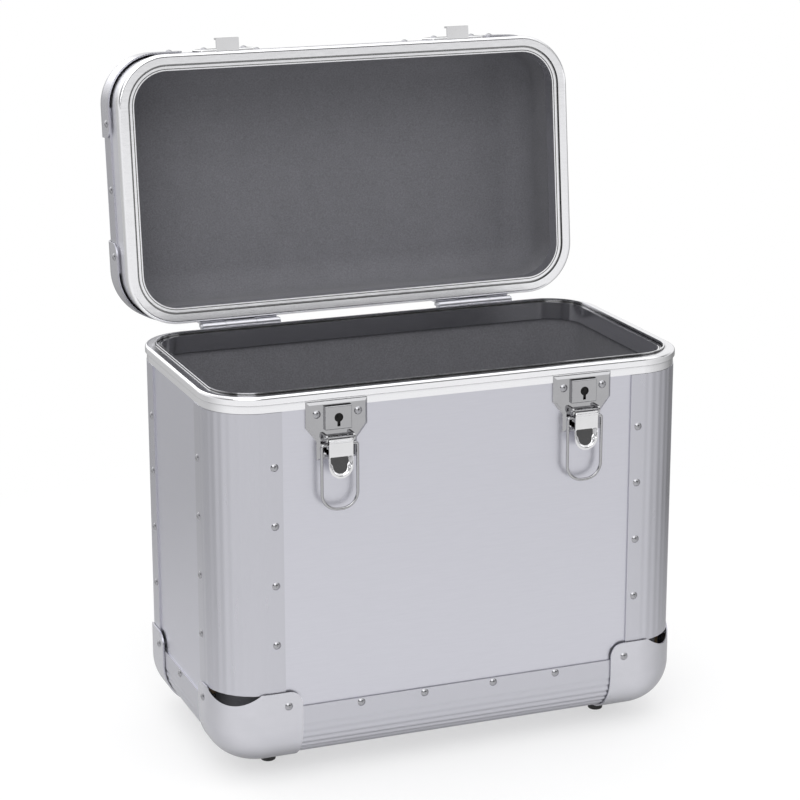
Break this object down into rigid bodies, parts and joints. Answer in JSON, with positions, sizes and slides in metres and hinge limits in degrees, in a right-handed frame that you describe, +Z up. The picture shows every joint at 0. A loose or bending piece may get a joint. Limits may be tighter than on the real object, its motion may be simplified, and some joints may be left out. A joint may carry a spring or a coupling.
{
  "type": "record carrying case",
  "caption": "Upright aluminium-clad carrying case for 12 inch records, with rounded fluted corners, steel corner caps, chrome draw latches, a felt lining and a hinged lid standing open.",
  "frame": {"origin": "on the floor under the middle of the base, on the plane of the rubber feet", "axes": "+X along the front to the right, +Y from the latches to the hinges, +Z up"},
  "size_m": [0.3634, 0.3159, 0.4935],
  "materials": {
    "panel_aluminium": "fine satin sheet",
    "extruded_aluminium": "fluted, bright",
    "rim_aluminium": "polished bead",
    "cap_steel": "smooth satin pressing",
    "rivet_steel": "bright domed head",
    "screw_steel": "plain",
    "latch_chrome": "mirror plated pressing",
    "key_steel": "dull",
    "bail_steel": "bright wire",
    "hinge_steel": "plated",
    "handle_steel": "plated",
    "felt": "charcoal felt",
    "board_wood": "plain plywood",
    "foot_rubber": "matt black",
    "grip_plastic": "moulded black"
  },
  "bodies": {
    "base": {"front_skin": "panel_aluminium", "front_edge_extrusion": "extruded_aluminium", "back_skin": "panel_aluminium", "back_edge_extrusion": "extruded_aluminium", "left_skin": "panel_aluminium", "left_edge_extrusion": "extruded_aluminium", "right_skin": "panel_aluminium", "right_edge_extrusion": "extruded_aluminium", "front_left_corner_extrusion": "extruded_aluminium", "front_left_cap": "cap_steel", "front_right_corner_extrusion": "extruded_aluminium", "front_right_cap": "cap_steel", "back_left_corner_extrusion": "extruded_aluminium", "back_left_cap": "cap_steel", "back_right_corner_extrusion": "extruded_aluminium", "back_right_cap": "cap_steel", "wall_boards": "board_wood", "bottom_skin": "panel_aluminium", "floor_board": "board_wood", "base_rim": "rim_aluminium", "base_lining": "felt", "base_rivets": "rivet_steel", "cap_rivets": "rivet_steel", "feet": "foot_rubber", "foot_screws": "screw_steel", "left_latch_plate": "latch_chrome", "left_lock_case": "latch_chrome", "left_latch_pin": "bail_steel", "right_latch_plate": "latch_chrome", "right_lock_case": "latch_chrome", "right_latch_pin": "bail_steel", "latch_rivets": "rivet_steel", "base_hinge_leaves": "hinge_steel", "hinge_pins": "hinge_steel"},
    "lid": {"lid_front_extrusion": "extruded_aluminium", "lid_back_extrusion": "extruded_aluminium", "lid_left_extrusion": "extruded_aluminium", "lid_right_extrusion": "extruded_aluminium", "lid_front_left_cap": "cap_steel", "lid_front_right_cap": "cap_steel", "lid_back_left_cap": "cap_steel", "lid_back_right_cap": "cap_steel", "left_catch": "latch_chrome", "right_catch": "latch_chrome", "lid_hinge_leaves": "hinge_steel", "lid_boards": "board_wood", "lid_wall_band": "panel_aluminium", "lid_top_skin": "panel_aluminium", "lid_rim": "rim_aluminium", "lid_lining": "felt", "lid_rivets": "rivet_steel", "handle_brackets": "handle_steel"},
    "left_lever": {"left_lever": "latch_chrome"},
    "right_lever": {"right_lever": "latch_chrome"},
    "left_bail": {"left_bail": "bail_steel"},
    "right_bail": {"right_bail": "bail_steel"},
    "left_cam": {"left_lock_cam": "key_steel"},
    "right_cam": {"right_lock_cam": "key_steel"},
    "handle": {"handle_bow": "handle_steel", "handle_grip": "grip_plastic"}
  },
  "joints": [
    {"name": "lid_hinge", "type": "hinge", "parent": "base", "child": "lid", "pos_m": [0, 0.1032, 0.283], "axis": [1, 0, 0], "range_deg": [0, 96]},
    {"name": "left_lever_pivot", "type": "hinge", "parent": "base", "child": "left_lever", "pos_m": [-0.092, -0.1043, 0.2505], "axis": [-1, 0, 0], "range_deg": [0, 105]},
    {"name": "left_bail_pivot", "type": "hinge", "parent": "left_lever", "child": "left_bail", "pos_m": [-0.092, -0.1043, 0.246], "axis": [-1, 0, 0], "range_deg": [0, 70]},
    {"name": "left_lock_turn", "type": "hinge", "parent": "base", "child": "left_cam", "pos_m": [-0.092, -0.105, 0.2646], "axis": [0, 1, 0], "range_deg": [0, 90]},
    {"name": "right_lever_pivot", "type": "hinge", "parent": "base", "child": "right_lever", "pos_m": [0.092, -0.1043, 0.2505], "axis": [-1, 0, 0], "range_deg": [0, 105]},
    {"name": "right_bail_pivot", "type": "hinge", "parent": "right_lever", "child": "right_bail", "pos_m": [0.092, -0.1043, 0.246], "axis": [-1, 0, 0], "range_deg": [0, 70]},
    {"name": "right_lock_turn", "type": "hinge", "parent": "base", "child": "right_cam", "pos_m": [0.092, -0.105, 0.2646], "axis": [0, 1, 0], "range_deg": [0, 90]},
    {"name": "handle_swing", "type": "hinge", "parent": "lid", "child": "handle", "pos_m": [0, 0.19872, 0.37673], "axis": [1, 0, 0], "range_deg": [-6, 84]}
  ]
}
